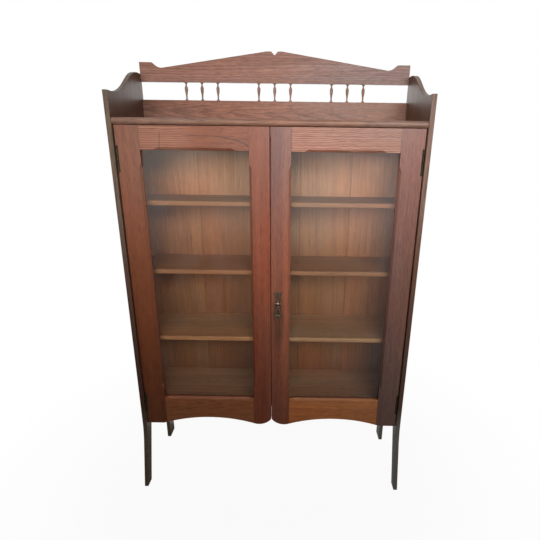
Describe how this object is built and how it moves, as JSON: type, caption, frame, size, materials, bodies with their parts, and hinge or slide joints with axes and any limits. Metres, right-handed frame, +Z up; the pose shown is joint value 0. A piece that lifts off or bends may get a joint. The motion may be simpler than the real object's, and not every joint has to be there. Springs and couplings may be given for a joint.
{
  "type": "glazed bookcase",
  "caption": "Free-standing bookcase with glazed doors over shelves, a spindle gallery above its top board and front legs that kick forward.",
  "frame": {"origin": "on the floor under the middle of the whole object", "axes": "+Z up, +Y to the rear, +X to the right seen from the front"},
  "size_m": [0.97, 0.326, 1.562],
  "materials": {
    "case_wood": "worn satin varnish",
    "door_wood": "worn satin varnish",
    "gallery_wood": "worn satin varnish",
    "shelf_wood": "thin matt varnish",
    "back_wood": "thin matt varnish",
    "glass": "polished",
    "hinge_brass": "dull and aged",
    "handle_bronze": "dark and worn",
    "screw_brass": "dull",
    "catch_steel": "dull"
  },
  "bodies": {
    "case": {"left_side_panel": "case_wood", "right_side_panel": "case_wood", "top_board": "case_wood", "bottom_board": "shelf_wood", "upper_shelf": "shelf_wood", "middle_shelf": "shelf_wood", "lower_shelf": "shelf_wood", "shelf_cleats": "shelf_wood", "gallery_base_rail": "gallery_wood", "gallery_crest_rail": "gallery_wood", "door_stop_batten": "shelf_wood", "hinge_pins": "hinge_brass", "case_hinge_screws": "screw_brass", "catch_strikes": "catch_steel", "back_board_1": "back_wood", "back_board_2": "back_wood", "back_board_3": "back_wood", "back_board_4": "back_wood", "back_board_5": "back_wood", "gallery_spindle_1": "gallery_wood", "gallery_spindle_2": "gallery_wood", "gallery_spindle_3": "gallery_wood", "gallery_spindle_4": "gallery_wood", "gallery_spindle_5": "gallery_wood", "gallery_spindle_6": "gallery_wood", "gallery_spindle_7": "gallery_wood", "gallery_spindle_8": "gallery_wood", "gallery_spindle_9": "gallery_wood", "left_upper_hinge_case_leaf": "hinge_brass", "left_lower_hinge_case_leaf": "hinge_brass", "right_upper_hinge_case_leaf": "hinge_brass", "right_lower_hinge_case_leaf": "hinge_brass"},
    "left_door": {"left_hinge_stile": "door_wood", "left_meeting_stile": "door_wood", "left_top_rail": "door_wood", "left_bottom_rail": "door_wood", "left_glass": "glass", "left_glazing_beads": "door_wood", "left_door_hinge_screws": "screw_brass", "left_catch_barrel": "catch_steel", "left_upper_hinge_door_leaf": "hinge_brass", "left_lower_hinge_door_leaf": "hinge_brass"},
    "right_door": {"right_hinge_stile": "door_wood", "right_meeting_stile": "door_wood", "right_top_rail": "door_wood", "right_bottom_rail": "door_wood", "right_glass": "glass", "right_glazing_beads": "door_wood", "right_door_hinge_screws": "screw_brass", "right_catch_barrel": "catch_steel", "right_upper_hinge_door_leaf": "hinge_brass", "right_lower_hinge_door_leaf": "hinge_brass", "handle_backplate": "handle_bronze", "handle_plate_pins": "handle_bronze", "handle_post": "handle_bronze", "handle_pivot_pin": "handle_bronze"},
    "handle_drop": {"handle_drop": "handle_bronze"},
    "left_catch": {"left_catch_ball": "catch_steel"},
    "right_catch": {"right_catch_ball": "catch_steel"}
  },
  "joints": [
    {"name": "left_door_swing", "type": "hinge", "parent": "case", "child": "left_door", "pos_m": [-0.466, -0.107, 0.77], "axis": [0, 0, -1], "range_deg": [0, 105]},
    {"name": "right_door_swing", "type": "hinge", "parent": "case", "child": "right_door", "pos_m": [0.466, -0.107, 0.77], "axis": [0, 0, 1], "range_deg": [0, 105]},
    {"name": "handle_drop_swing", "type": "hinge", "parent": "right_door", "child": "handle_drop", "pos_m": [0.0245, -0.1176, 0.7405], "axis": [-1, 0, 0], "range_deg": [0, 85]},
    {"name": "left_catch_press", "type": "slide", "parent": "left_door", "child": "left_catch", "axis": [0, 0, -1], "range_m": [0, 0.0024], "stiffness_N_per_m": 200},
    {"name": "right_catch_press", "type": "slide", "parent": "right_door", "child": "right_catch", "axis": [0, 0, -1], "range_m": [0, 0.0024], "stiffness_N_per_m": 200}
  ]
}
